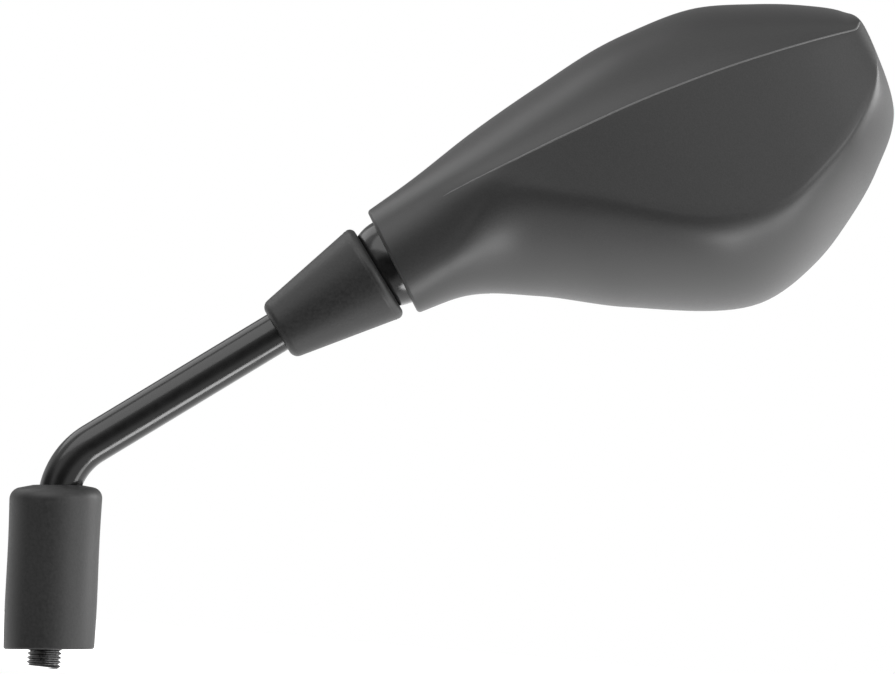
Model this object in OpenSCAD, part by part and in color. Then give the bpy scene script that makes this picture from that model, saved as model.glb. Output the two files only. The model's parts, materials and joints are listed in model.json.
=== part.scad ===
// Left-hand motorcycle mirror on a bent steel stem.
// The stem screws into the handlebar perch, and the head swings on a ball joint at the stem's far end.
// The origin is on the thread's axis, where its full thread starts above the entry chamfer.
// +Z is the thread's axis, +X runs outboard along the arm, the housing's closed back faces -Y
// and the glass faces +Y.

/* [Thread and lock nut] */
// Diameter of the mounting thread over its crests
thread_d = 10; // [8:0.5:10]
// Length of full thread below the lock nut
thread_len = 17; // [12:1:20]
// Chamfer on the thread's entry
thread_chamfer = 1.0; // [0.4:0.1:1.4]
// How much smaller the thread's run-out is than its crests, under the lock nut
runout_step = 0.4; // [0.35:0.05:0.6]
// Run-out left free between the full thread and the lock nut
runout_lead = 0.5; // [0.3:0.1:1]
// Width of the lock nut across its flats
lock_nut_af = 17; // [15:0.5:18]
// Height of the lock nut
lock_nut_h = 6; // [4:0.5:8]
// Length of run-out left free above the lock nut
runout_spare = 2; // [1:0.5:4]

/* [Stem] */
// Diameter of the round steel stem
stem_d = 12; // [10.5:0.5:13]
// Height at which the lower and upper stem axes would meet
corner_z = 59.3; // [57:0.1:65]
// Centre-line radius of the bend
bend_r = 21.5; // [14:0.5:23]
// Angle of the arm above the horizontal
arm_angle = 36.15; // [30:0.5:42]
// Distance from that corner to the ball's centre, along the arm
arm_len = 113.5; // [105:0.5:125]

/* [Lower sleeve] */
// Outer diameter of the rubber sleeve at its open end
sleeve_d = 26.5; // [25:0.1:29]
// How much wider the sleeve is at its top corner
sleeve_flare = 0.6; // [0:0.1:2]
// Height of the sleeve from its open end to its top corner
sleeve_h = 47.2; // [46:0.2:48]
// Rubber thickness of the sleeve's wall
sleeve_wall = 2.0; // [1.5:0.1:2.4]
// Rubber thickness of the sleeve's closed top
sleeve_top_t = 4.0; // [3:0.2:5]
// Rise of the sleeve's domed top
sleeve_dome = 0.9; // [0.4:0.1:1.4]
// Radius of the sleeve's top corner
sleeve_corner = 3.4; // [1.5:0.1:4]
// Height of the sleeve's open end above the start of the full thread
sleeve_bottom = 4.9; // [3:0.1:6]
// Lean of the loose sleeve away from the thread's axis
sleeve_lean = 3.0; // [0:0.1:3.2]
// Sideways shift of the sleeve's open end
sleeve_shift = 1.12; // [0:0.02:1.4]
// Clearance between a rubber lip and the stem
lip_gap = 0.2; // [0.15:0.05:0.4]

/* [Joint boot] */
// Outer diameter of the tapered boot at its small end
boot_small_d = 18.3; // [16:0.1:20]
// Outer diameter of the boot at its mouth
boot_mouth_d = 29.9; // [29:0.1:31]
// Length of the boot
boot_len = 34.4; // [28:0.2:40]
// Distance from the boot's mouth to the ball's centre
mouth_gap = 5.4; // [5.2:0.1:6]
// Rubber thickness at the boot's mouth
boot_wall = 2.4; // [2:0.1:2.6]
// Length over which the boot grips the stem
boot_grip = 13; // [8:0.5:16]
// Radius of the boot's small end
boot_small_r = 1.7; // [0.5:0.1:2.5]
// Radius of the boot's mouth edge
boot_mouth_r = 1.5; // [0.5:0.1:1.9]

/* [Ball joint] */
// Diameter of the ball
ball_d = 26; // [24:0.2:27]
// Diameter of the stem's spigot through the ball
spigot_d = 8; // [7:0.5:9]
// Height of the ball's front flat from its centre
ball_front = 12; // [11.4:0.1:12.4]
// Diameter of the clamping thread at the stem's far end
tail_d = 6; // [5:0.5:6]
// Running gap between two spherical faces
sphere_gap = 0.08; // [0.05:0.01:0.1]
// Thickness of the nylon friction liner
liner_t = 0.7; // [0.5:0.1:0.8]
// Thickness of the bracket's dome
dome_t = 1.4; // [1.1:0.1:1.6]
// Half angle of the opening through the dome
dome_hole_angle = 30; // [29:0.5:31]
// Half angle of the opening through the liner
liner_hole_angle = 26; // [25:0.5:28]
// Half angle at which the liner's skirt ends
liner_edge_angle = 61; // [55:1:63]
// Thickness of the pressure cup's dish
cup_t = 1.46; // [1.2:0.02:1.6]
// Diameter of the pressure cup
cup_d = 18; // [17:0.2:18.6]
// Height of the cup's spring seat above its dish
cup_seat_h = 1.4; // [1:0.1:1.8]
// Length of the clamped spring
spring_len = 8.6; // [7.6:0.2:9]
// Mean diameter of the spring's turns
spring_mean_d = 10.4; // [9.6:0.2:10.8]
// Wire diameter of the spring
spring_wire = 1.9; // [1.6:0.1:2]
// Turns of the spring
spring_turns = 3.5; // [3:0.25:3.75]
// Diameter of the thrust washer
washer_d = 13.2; // [12.6:0.2:13.4]
// Thickness of the thrust washer
washer_t = 1.2; // [1:0.1:1.6]
// Width of the clamping nut across its flats
tail_nut_af = 10; // [9:0.5:10]
// Height of the clamping nut
tail_nut_h = 6.2; // [5.6:0.2:6.6]
// Height of the nylon insert at the top of the clamping nut
insert_h = 1.6; // [1.2:0.1:2]
// Length of thread standing past the clamping nut
tail_spare = 1.5; // [0.5:0.5:2]

/* [Mirror head] */
// Angle of the head's axis above the horizontal
head_angle = 31.6; // [28:0.2:36]
// Length of the head from the ball's centre to its far end
head_len = 153.1; // [145:0.1:160]
// Height of the head above its axis
head_up = 29.05; // [28:0.25:33]
// Depth of the head below its axis
head_down = 58.8; // [54:0.25:64]
// Distance from the head's axis to the rim that holds the glass
rim_depth = 18; // [17.8:0.1:20]
// Distance from the head's axis to the deepest ridge of the back
back_depth = 28.5; // [27:0.25:32]
// Wall thickness of the housing
shell_wall = 2.3; // [1.8:0.1:2.4]
// Radial gap between the ball and the neck's bore
neck_gap = 1.35; // [1.2:0.05:1.5]
// Wall thickness of the neck at its open end
neck_wall = 2.2; // [2:0.1:2.6]
// How far the neck's open end reaches back past the ball's centre
neck_reach = 0.6; // [0:0.1:0.8]
// Slope of the upper facet where it leaves the crease
upper_slope = 24; // [16:1:30]

/* [Glass and carrier] */
// Width of the rim around the glass opening
rim_w = 2.6; // [2.5:0.1:3.4]
// Gap around the glass inside its opening
glass_gap = 0.45; // [0.25:0.1:0.85]
// Distance along the head's axis at which the glass opening starts
glass_start = 33; // [32:0.5:40]
// Corner radius of the glass
glass_corner = 9; // [6:0.5:10]
// Radius of the convex glass
glass_radius = 1200; // [900:50:1600]
// Thickness of the glass
glass_t = 2.0; // [1.8:0.1:2.2]
// Depth of the glass edge below the rim
glass_sink = 2.5; // [2.3:0.1:2.6]
// Thickness of the adhesive foam pad
pad_t = 0.8; // [0.6:0.1:1]
// Thickness of the carrier plate
carrier_t = 2.2; // [2:0.1:2.4]
// How far the pad and carrier stand inside the glass edge
carrier_inset = 1.5; // [1:0.25:3]

/* [Bracket and screws] */
// Thickness of the bracket's foot plate
foot_t = 2.0; // [1.8:0.1:2.4]
// Distance along the head's axis at which the foot plate ends
foot_end = 58; // [56:0.5:64]
// Half width of the foot plate
foot_half_w = 13; // [12:0.5:14]
// Thread diameter of the bracket's screws
bracket_screw_d = 4; // [3:0.5:4]
// Length of the bracket's screws with their heads
bracket_screw_len = 5; // [4.5:0.25:5.25]
// Thread diameter of the carrier's screws
carrier_screw_d = 3; // [2.5:0.5:3]
// Length of the carrier's screws with their heads
carrier_screw_len = 10; // [8:1:16]
// Clearance between a screw's thread and its hole
screw_gap = 0.1; // [0.05:0.05:0.2]

/* [Hidden] */
$fn = 96;
cut = 1;

stem_r = stem_d / 2;
thread_r = thread_d / 2;
runout_r = thread_r - runout_step / 2;
lock_nut_z = thread_len + runout_lead;
runout_end = lock_nut_z + lock_nut_h + runout_spare;
turn = 90 - arm_angle;
tangent = bend_r * tan(turn / 2);
arm_dir = [cos(arm_angle), 0, sin(arm_angle)];
corner = [0, 0, corner_z];
ball_at = corner + arm_len * arm_dir;

ball_r = ball_d / 2;
spigot_r = spigot_d / 2;
tail_r = tail_d / 2;
fit_gap = 0.05;
ball_seat = sqrt(ball_r * ball_r - stem_r * stem_r) - 0.02;

liner_in = ball_r + sphere_gap;
liner_out = liner_in + liner_t;
dome_in = liner_out + sphere_gap;
dome_out = dome_in + dome_t;
cup_in = dome_out + sphere_gap;
cup_out = cup_in + cup_t;
cup_seat = cup_out + cup_seat_h;
washer_at = cup_seat + spring_len;
nut_at = washer_at + washer_t;
tail_end = nut_at + tail_nut_h + tail_spare;

neck_r = ball_r + neck_gap + neck_wall;
dome_base = ball_r * 0.54;
base_ring_t = 1.8;
skirt_t = 1.3;
skirt_fit = 0.15;
skirt_out = ball_r + neck_gap + skirt_fit;
skirt_in = skirt_out - skirt_t;
skirt_end = cup_out + 1.2;
foot_level = skirt_out - 1.5;
foot_start = skirt_end - 4;
foot_wide_at = foot_start + 25;

// Lengths along the head, as shares of head_len, and heights, as shares of head_up and head_down.
// Each row is one station: where it meets the upper outline, where it meets the lower outline,
// the front's depth, then the ridge's and the crease's depth as shares of back_depth, with their
// distances from the lower and the upper outline as shares of head_down and head_up, and how far the
// section has changed from the neck's round to its facets.
flare = 1.16;
function station(x1, up, x2, down, front, ridge, ridge_in, crease, crease_in, facet) =
    [x1 * head_len, up * head_up, x2 * head_len, -down * head_down, front,
     ridge * back_depth, ridge_in * head_down, crease * back_depth, crease_in * head_up, facet];
STATIONS = [
    [-neck_reach, neck_r, -neck_reach, -neck_r, neck_r, neck_r, 1.088 * neck_r, neck_r, 0.363 * neck_r, 0],
    [0.0915 * head_len, 1.14 * neck_r, 0.0915 * head_len, -1.108 * neck_r, mix(neck_r, rim_depth, 0.55),
     flare * neck_r, 1.269 * neck_r, flare * neck_r, 0.465 * neck_r, 0.25],
    station(0.235, 0.806, 0.215, 0.474, rim_depth, 0.814, 0.587, 0.787, 0.433, 0.9),
    station(0.392, 0.928, 0.358, 0.722, rim_depth, 0.921, 0.609, 0.844, 0.562, 1),
    station(0.589, 1.0055, 0.592, 1.0007, rim_depth, 1.0, 0.489, 0.844, 0.683, 1),
    station(0.732, 0.920, 0.716, 0.945, rim_depth, 0.945, 0.361, 0.784, 0.673, 1),
    station(0.834, 0.694, 0.798, 0.8455, rim_depth, 0.860, 0.324, 0.714, 0.527, 1),
    station(0.917, 0.460, 0.898, 0.673, rim_depth, 0.717, 0.263, 0.611, 0.376, 1),
    station(0.976, 0.238, 0.980, 0.4445, rim_depth, 0.524, 0.206, 0.478, 0.227, 1),
    station(1.0, -0.0215, 1.0, 0.017, rim_depth, 0.3, 0.009, 0.3, 0.014, 1)];
LAST = len(STATIONS) - 1;
STEPS = [4, 5, 5, 6, 5, 5, 5, 4, 5];

function mix(a, b, t) = a + (b - a) * t;
function swap_sides(r) = [r[2], r[3], r[0], r[1], r[4], r[5], r[6], r[7], r[8], r[9]];
function row(k) = k > LAST ? swap_sides(STATIONS[LAST - 1]) : STATIONS[max(k, 0)];
function upper(r) = [r[0], r[1]];
function lower(r) = [r[2], r[3]];
function gap_after(k) = k < 0 ? gap_after(0) : k >= LAST ? gap_after(LAST - 1)
    : (norm(upper(row(k + 1)) - upper(row(k))) + norm(lower(row(k + 1)) - lower(row(k)))) / 2;
function slope_at(k) = k == 0 ? (row(1) - row(0)) / gap_after(0)
    : let (a = gap_after(k - 1), b = gap_after(k))
      ((row(k + 1) - row(k)) / b * a + (row(k) - row(k - 1)) / a * b) / (a + b);
function station_at(p) = let (k = min(floor(p), LAST - 1), t = p - k, g = gap_after(k))
    (2 * pow(t, 3) - 3 * t * t + 1) * row(k) + (pow(t, 3) - 2 * t * t + t) * g * slope_at(k)
    + (3 * t * t - 2 * pow(t, 3)) * row(k + 1) + (pow(t, 3) - t * t) * g * slope_at(k + 1);
function curve(p0, p1, p2, p3, t) =
    pow(1 - t, 3) * p0 + 3 * pow(1 - t, 2) * t * p1 + 3 * (1 - t) * t * t * p2 + pow(t, 3) * p3;

// The outline's inward direction at a station, on its upper and lower side
function along(p, side) = let (a = max(p - 0.02, 0), b = min(p + 0.02, LAST),
    d = side > 0 ? upper(station_at(b)) - upper(station_at(a)) : lower(station_at(b)) - lower(station_at(a)))
    d / norm(d);
function upper_in(p, inset) = let (d = along(p, 1)) upper(station_at(p)) + inset * [d[1], -d[0]];
function lower_in(p, inset) = let (d = along(p, -1)) lower(station_at(p)) + inset * [-d[1], d[0]];

// One section as [distance up the chord, depth], from the lower rim round the back to the upper rim,
// then across the front. The neck's section is an oval, and the head's has a wall and two facets.
WALL = 14;
FACET = 5;
BROW = 9;
FRONT = 10;
BACK = WALL + FACET + BROW;
NECK_RIDGE = -24;
NECK_CREASE = 41;
function oval(w, back, front, a) = [w / 2 * (1 + sin(a)), (cos(a) > 0 ? back : front) * cos(a)];
function section(w, front, ridge, ridge_in, crease, crease_in, facet) = let (
    tilt = (ridge - crease) / max(w - ridge_in - crease_in, 1),
    turn_in = 0.34 * ridge_in,
    high = front + ridge,
    brow = [w - 0.58 * crease_in, crease - 0.42 * crease_in * tan(upper_slope)],
    faceted = concat(
        [for (i = [0 : WALL - 1]) curve([0, -front], [0.04 * ridge_in, -front + 0.5 * high],
            [ridge_in - turn_in, ridge + turn_in * tilt], [ridge_in, ridge], i / WALL)],
        [for (i = [0 : FACET - 1]) mix([ridge_in, ridge], [w - crease_in, crease], i / FACET)],
        [for (i = [0 : BROW - 1]) curve([w - crease_in, crease], brow,
            [w, 0.45 * crease], [w, -front], i / BROW)],
        [for (i = [0 : FRONT - 1]) mix([w, -front], [0, -front], i / FRONT)]),
    round = concat(
        [for (i = [0 : WALL - 1]) oval(w, ridge, front, mix(-90, NECK_RIDGE, i / WALL))],
        [for (i = [0 : FACET - 1]) oval(w, ridge, front, mix(NECK_RIDGE, NECK_CREASE, i / FACET))],
        [for (i = [0 : BROW - 1]) oval(w, ridge, front, mix(NECK_CREASE, 90, i / BROW))],
        [for (i = [0 : FRONT - 1]) oval(w, ridge, front, mix(90, 270, i / FRONT))]))
    [for (i = [0 : len(round) - 1]) mix(round[i], faceted[i], i < BACK ? facet : 1 - pow(1 - facet, 2))];

function ring(p, inset) = let (r = station_at(p), b = lower_in(p, inset), t = upper_in(p, inset),
    w = norm(t - b), up = (t - b) / w,
    s = section(w, r[4] - inset, r[5] - inset, max(r[6] - inset / 2, 0.3), r[7] - inset,
        max(r[8] - inset / 2, 0.3), r[9]))
    [for (q = s) [b[0] + q[0] * up[0], b[1] + q[0] * up[1], q[1]]];

TIP = LAST - 0.07;
PLACES = concat([for (k = [0 : LAST - 1]) for (i = [0 : STEPS[k] - 1]) k + i / STEPS[k]], [TIP]);

// A closed solid through a list of rings with the same number of points
module loft(rings) {
    n = len(rings[0]);
    m = len(rings);
    polyhedron(
        points = [for (r = rings) each r],
        faces = concat(
            [[for (j = [n - 1 : -1 : 0]) j]],
            [for (i = [0 : m - 2]) for (j = [0 : n - 1])
                [i * n + j, i * n + (j + 1) % n, (i + 1) * n + (j + 1) % n, (i + 1) * n + j]],
            [[for (j = [0 : n - 1]) (m - 1) * n + j]]),
        convexity = 8);
}

// Places geometry drawn along the arm, with +Z running from the bend to the ball
module on_arm(from_corner) {
    translate(corner + from_corner * arm_dir) rotate([0, turn, 0]) children();
}

// Places geometry drawn in the head's frame: X along the head, Y up its face, Z out of its back
module in_head() {
    translate(ball_at) rotate([90, -head_angle, 0]) children();
}

// Places geometry revolved about the head's axis, with +Z running into the head
module on_head_axis() {
    translate(ball_at) rotate([0, 90 - head_angle, 0]) children();
}

// The bend in the stem's round bar, which laps into the straight bar at both ends
bend_z = corner_z - tangent;
lap = 0.4;
thinning = 0.04;
module bend(r) {
    translate([bend_r, 0, bend_z]) rotate([90, 0, 0]) rotate([0, 0, 180 - turn])
        rotate_extrude(angle = turn) translate([bend_r, 0]) circle(r = r - thinning);
}

function arc(centre, r, from, to, n = 8) =
    [for (i = [0 : n]) centre + r * [cos(mix(from, to, i / n)), sin(mix(from, to, i / n))]];

// A hexagon with its corners turned down at both ends
module hex_body(af, h) {
    corner_r = af / 2 / cos(30);
    drop = (corner_r - af / 2) * tan(30);
    intersection() {
        cylinder(r = corner_r, h = h, $fn = 6);
        rotate_extrude() polygon([[0, 0], [af / 2, 0], [corner_r, drop],
            [corner_r, h - drop], [af / 2, h], [0, h]]);
    }
}

module stem() color("#141414") {
    cone_z = runout_end - stem_r + runout_r;
    shoulder = arm_len - ball_seat;
    spigot_end = arm_len + ball_front;
    tail_tip = arm_len + tail_end;
    tip_h = tail_r / 4;
    rotate_extrude() polygon([[0, -thread_chamfer], [thread_r - thread_chamfer, -thread_chamfer],
        [thread_r, 0], [thread_r, thread_len], [runout_r, thread_len], [runout_r, cone_z],
        [stem_r, runout_end], [stem_r, bend_z + lap], [0, bend_z + lap]]);
    bend(stem_r);
    on_arm(0) rotate_extrude() polygon([[0, tangent - lap], [stem_r, tangent - lap], [stem_r, shoulder],
        [spigot_r, shoulder], [spigot_r, spigot_end], [tail_r, spigot_end], [tail_r, tail_tip - tip_h],
        [tail_r * 0.75, tail_tip], [0, tail_tip]]);
}

module lock_nut() color("#3a3a3c") translate([0, 0, lock_nut_z]) difference() {
    hex_body(lock_nut_af, lock_nut_h);
    translate([0, 0, -cut]) cylinder(r = runout_r + fit_gap, h = lock_nut_h + 2 * cut);
}

module lower_sleeve() color("#2b2b2d") {
    low_r = sleeve_d / 2;
    top_r = low_r + sleeve_flare / 2;
    hollow_r = low_r - sleeve_wall;
    difference() {
        translate([sleeve_shift, 0, sleeve_bottom]) rotate([0, -sleeve_lean, 0]) difference() {
            rotate_extrude() polygon(concat([[0, 0], [low_r - 0.4, 0], [low_r, 0.4]],
                arc([top_r - sleeve_corner, sleeve_h - sleeve_corner], sleeve_corner, 0, 80),
                [[top_r * 0.5, sleeve_h + sleeve_dome * 0.75], [0, sleeve_h + sleeve_dome]]));
            translate([0, 0, -cut]) cylinder(r = hollow_r, h = sleeve_h - sleeve_top_t + cut);
        }
        cylinder(r = stem_r + lip_gap, h = bend_z + lap);
        bend(stem_r + lip_gap);
    }
}

module joint_boot() color("#2f2f31") {
    small_r = boot_small_d / 2;
    mouth_r = boot_mouth_d / 2;
    hollow_r = mix(small_r, mouth_r, boot_grip / boot_len) - boot_wall;
    lean = atan((mouth_r - small_r) / boot_len);
    on_arm(arm_len - mouth_gap - boot_len) rotate_extrude() polygon(concat(
        [[stem_r + lip_gap, 0]],
        arc([small_r + 0.25 - boot_small_r, boot_small_r], boot_small_r, -90, -lean),
        arc([mouth_r - boot_mouth_r, boot_len - boot_mouth_r], boot_mouth_r, -lean, 90),
        [[mouth_r - boot_wall, boot_len], [hollow_r, boot_grip], [stem_r + lip_gap, boot_grip]]));
}

module ball() color("#0e0e0e") on_arm(arm_len) difference() {
    sphere(r = ball_r);
    translate([0, 0, -ball_r - cut]) cylinder(r = ball_r, h = ball_r + cut - ball_seat);
    translate([0, 0, ball_front]) cylinder(r = ball_r, h = ball_r);
    translate([0, 0, -ball_r]) cylinder(r = spigot_r + fit_gap, h = 2 * ball_r);
}

// A revolved spherical shell between two radii and two half angles from +Z
module zone(r_in, r_out, from, to) {
    far = 2 * r_out;
    rotate_extrude() intersection() {
        difference() {
            circle(r = r_out);
            circle(r = r_in);
        }
        polygon([[0, 0], far * [sin(from), cos(from)], far * [sin((from + to) / 2), cos((from + to) / 2)],
            far * [sin(to), cos(to)]]);
    }
}

module friction_liner() color("#e8e6df") on_arm(arm_len)
    zone(liner_in, liner_out, liner_hole_angle, liner_edge_angle);

// Countersunk screw drawn along +Z with its head's face at the origin
module flat_screw(d, l) {
    r = d / 2;
    head_r = 1.8 * r;
    cylinder(r1 = head_r, r2 = r, h = head_r - r);
    translate([0, 0, head_r - r]) cylinder(r = r, h = l - head_r + r - r / 2);
    translate([0, 0, l - r / 2]) cylinder(r1 = r, r2 = r / 2, h = r / 2);
    translate([0, 0, -0.001]) cylinder(r = head_r, h = 0.001);
}

// The hole that such a screw passes through, in a plate of thickness t
module screw_hole(d, t) {
    r = d / 2 + screw_gap;
    head_r = 0.9 * d + screw_gap;
    translate([0, 0, -cut]) cylinder(r = r, h = t + 2 * cut);
    cylinder(r1 = head_r, r2 = r, h = head_r - r);
    translate([0, 0, -cut]) cylinder(r = head_r, h = cut);
}

foot_half_start = 6;
BRACKET_SCREWS = let (near = foot_start + 17, close = 1.15 * bracket_screw_d,
    far = foot_end - 1.5 * bracket_screw_d, wide = foot_half_w - 0.925 * bracket_screw_d)
    [[near, 0.325 * bracket_screw_d - close], [near, 0.325 * bracket_screw_d + close],
     [far, -wide], [far, wide]];

module socket_bracket() color("#9a9ca0") {
    on_head_axis() {
        difference() {
            translate([0, 0, dome_base]) cylinder(r = skirt_out, h = skirt_end - dome_base);
            translate([0, 0, dome_base + base_ring_t]) cylinder(r = skirt_in, h = skirt_end);
            sphere(r = dome_in);
        }
        difference() {
            intersection() {
                sphere(r = dome_out);
                translate([0, 0, dome_base]) cylinder(r = skirt_out, h = dome_out);
            }
            sphere(r = dome_in);
            cylinder(r1 = 0, r2 = dome_out * tan(dome_hole_angle), h = dome_out);
        }
    }
    in_head() difference() {
        translate([0, 0, foot_level]) linear_extrude(foot_t) polygon([
            [foot_start, -0.8 * foot_half_start], [foot_start + 16, -0.1275 * head_down],
            [foot_start + 30, -foot_half_w], [foot_end - 3, -foot_half_w],
            [foot_end, -foot_half_w + 3], [foot_end, foot_half_w - 3], [foot_end - 3, foot_half_w],
            [foot_wide_at, foot_half_w], [foot_start, foot_half_start]]);
        for (p = BRACKET_SCREWS) translate([p[0], p[1], foot_level]) screw_hole(bracket_screw_d, foot_t);
    }
}

module pressure_cup() color("#c2c4c8") on_arm(arm_len) difference() {
    union() {
        intersection() {
            sphere(r = cup_out);
            cylinder(r = cup_d / 2, h = cup_out);
        }
        translate([0, 0, cup_in]) cylinder(r = cup_d * 0.37, h = cup_seat - cup_in);
    }
    sphere(r = cup_in);
    cylinder(r = tail_r + sphere_gap, h = 2 * cup_out);
}

// A closed coil with its end turns laid flat
module joint_spring() color("#8d8f93") on_arm(arm_len) {
    wire_r = spring_wire / 2;
    steps = 20;
    sides = 8;
    count = floor(spring_turns * steps);
    rise = spring_len - spring_wire - 0.1;
    loft([for (i = [0 : count]) let (a = 360 * i / steps, t = i / count,
            lift = rise * min(max((t - 0.16) / 0.68, 0), 1), z = cup_seat + wire_r + 0.05 + lift)
        [for (j = [0 : sides - 1]) let (b = -360 * j / sides, r = spring_mean_d / 2 + wire_r * cos(b))
            [r * cos(a), r * sin(a), z + wire_r * sin(b)]]]);
}

module thrust_washer() color("#c2c4c8") on_arm(arm_len + washer_at) difference() {
    cylinder(r = washer_d / 2, h = washer_t);
    translate([0, 0, -cut]) cylinder(r = tail_r + 2 * fit_gap, h = washer_t + 2 * cut);
}

insert_wall = 1.1;
insert_r = tail_r + insert_wall;
module joint_nut() color("#b4b6ba") on_arm(arm_len + nut_at) difference() {
    union() {
        hex_body(tail_nut_af, tail_nut_h - insert_h);
        cylinder(r = tail_nut_af * 0.47, h = tail_nut_h);
    }
    translate([0, 0, -cut]) cylinder(r = tail_r + fit_gap, h = tail_nut_h + 2 * cut);
    translate([0, 0, tail_nut_h - insert_h]) cylinder(r = insert_r + fit_gap, h = insert_h + cut);
}

module nut_insert() color("#4c78c0") on_arm(arm_len + nut_at + tail_nut_h - insert_h) difference() {
    cylinder(r = insert_r, h = insert_h);
    translate([0, 0, -cut]) cylinder(r = tail_r + fit_gap, h = insert_h + 2 * cut);
}

// The head's outline, drawn in by an inset with round corners and cut off before the neck
module face_outline(inset) {
    corner_r = glass_corner - inset / 3;
    offset(r = corner_r) offset(delta = -inset - corner_r) intersection() {
        polygon(concat([for (p = PLACES) upper(station_at(p))],
            [for (i = [len(PLACES) - 1 : -1 : 0]) lower(station_at(PLACES[i]))]));
        translate([glass_start, -2 * head_down]) square([head_len, 4 * head_down]);
    }
}

// The glass's centre of curvature lies behind the middle of the head's face
glass_mid = [0.59 * head_len, (head_up - head_down) / 2];
glass_reach = 0.43 * head_len;
glass_edge = -rim_depth + glass_sink;
glass_centre = glass_edge + sqrt(pow(glass_radius, 2) - pow(glass_reach, 2));
layer_gap = 0.02;
pad_radius = glass_radius - glass_t - layer_gap;
carrier_radius = pad_radius - pad_t - layer_gap;
function behind(p, r) = glass_centre - sqrt(r * r - pow(norm(p - glass_mid), 2));

// Everything behind a spherical front of the given radius, down to the head's axis
module behind_front(r) {
    translate([glass_mid[0], glass_mid[1], glass_centre]) rotate_extrude() intersection() {
        circle(r = r, $fn = 1440);
        translate([0, -r - cut]) square([0.7 * head_len, r + cut - glass_centre]);
    }
}

// A layer of an outline between two spherical faces
module layer(r, t) {
    difference() {
        intersection() {
            translate([0, 0, -2 * rim_depth]) linear_extrude(1.9 * rim_depth) children();
            behind_front(r);
        }
        behind_front(r - t);
    }
}

module mirror_glass() color("#b9c6cf") in_head() layer(glass_radius, glass_t) face_outline(rim_w + glass_gap);

// The carrier's outline, with a notch that the clamping nut swings in
notch_half = tail_nut_af * 1.45;
notch_end = tail_end + 4.5;
module carrier_outline() {
    difference() {
        face_outline(rim_w + glass_gap + carrier_inset);
        translate([0, -notch_half]) square([notch_end, 2 * notch_half]);
    }
}

CARRIER_SCREWS = [[0.40 * head_len, 0.60 * head_up], [0.88 * head_len, 0.14 * head_up],
    [0.77 * head_len, -0.64 * head_down], [0.42 * head_len, -0.56 * head_down]];
function post_top(p) = fit_gap
    + behind(p + 4 * (p - glass_mid) / norm(p - glass_mid), carrier_radius - carrier_t);

module foam_pad() color("#1c1c1c") in_head() layer(pad_radius, pad_t) carrier_outline();

module glass_carrier() color("#1f1f21") in_head() difference() {
    layer(carrier_radius, carrier_t) carrier_outline();
    for (p = CARRIER_SCREWS) translate([p[0], p[1], behind(p, carrier_radius) + 0.15])
        screw_hole(carrier_screw_d, carrier_t);
}

module carrier_screw(i) color("#55575a") in_head() {
    p = CARRIER_SCREWS[i];
    translate([p[0], p[1], behind(p, carrier_radius) + 0.2]) flat_screw(carrier_screw_d, carrier_screw_len);
}

module bracket_screw(i) color("#55575a") in_head() {
    p = BRACKET_SCREWS[i];
    translate([p[0], p[1], foot_level + 0.05]) flat_screw(bracket_screw_d, bracket_screw_len);
}

// A moulded boss with a little draft, from its top down into the back wall
module boss(p, top, r) {
    hull() {
        translate([p[0], p[1], top]) cylinder(r = r, h = 0.4, $fn = 24);
        translate([p[0], p[1], back_depth]) cylinder(r = r + 1, h = 0.4, $fn = 24);
    }
}

module rear_housing() color("#3c3d3f") in_head() {
    outer = [for (p = PLACES) ring(p, 0)];
    inner = [for (p = PLACES) ring(p, shell_wall)];
    difference() {
        union() {
            difference() {
                loft(outer);
                loft(inner);
                rotate([0, 90, 0]) translate([0, 0, -neck_reach - cut])
                    cylinder(r = ball_r + neck_gap, h = 3 + cut);
                rotate([0, 90, 0]) translate([0, 0, dome_base - 1])
                    cylinder(r = skirt_out + sphere_gap, h = skirt_end - dome_base + 2);
                translate([0, 0, -2 * rim_depth]) linear_extrude(1.5 * rim_depth) face_outline(rim_w);
            }
            intersection() {
                loft(outer);
                union() {
                    for (p = BRACKET_SCREWS) boss(p, foot_level + foot_t, 0.9 * bracket_screw_d);
                    for (p = CARRIER_SCREWS) boss(p, post_top(p), 1.15 * carrier_screw_d);
                }
            }
        }
        for (p = BRACKET_SCREWS) translate([p[0], p[1], foot_level])
            cylinder(r = bracket_screw_d / 2 + screw_gap, h = bracket_screw_len + 0.2, $fn = 24);
        for (p = CARRIER_SCREWS) translate([p[0], p[1], post_top(p) - cut])
            cylinder(r = carrier_screw_d / 2 + screw_gap, h = carrier_screw_len - 1, $fn = 24);
    }
}

stem();
lock_nut();
lower_sleeve();
joint_boot();
ball();
friction_liner();
socket_bracket();
pressure_cup();
joint_spring();
thrust_washer();
joint_nut();
nut_insert();
rear_housing();
bracket_screw(0);  // bracket_screw_1
bracket_screw(1);  // bracket_screw_2
bracket_screw(2);  // bracket_screw_3
bracket_screw(3);  // bracket_screw_4
glass_carrier();
carrier_screw(0);  // carrier_screw_1
carrier_screw(1);  // carrier_screw_2
carrier_screw(2);  // carrier_screw_3
carrier_screw(3);  // carrier_screw_4
foam_pad();
mirror_glass();
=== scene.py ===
# %% [markdown]
# A left-hand motorcycle mirror on a bent steel stem. The stem screws into a handlebar perch, a rubber
# sleeve hides the lock nut, and the head swings on a ball joint under a tapered rubber boot.
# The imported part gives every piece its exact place. This file dresses it: it remodels what shows,
# gives each piece its finish, and sets up the light and the camera.

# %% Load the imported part
import json
import math

import bmesh
import bpy
import numpy as np
from mathutils import Matrix, Vector

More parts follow.
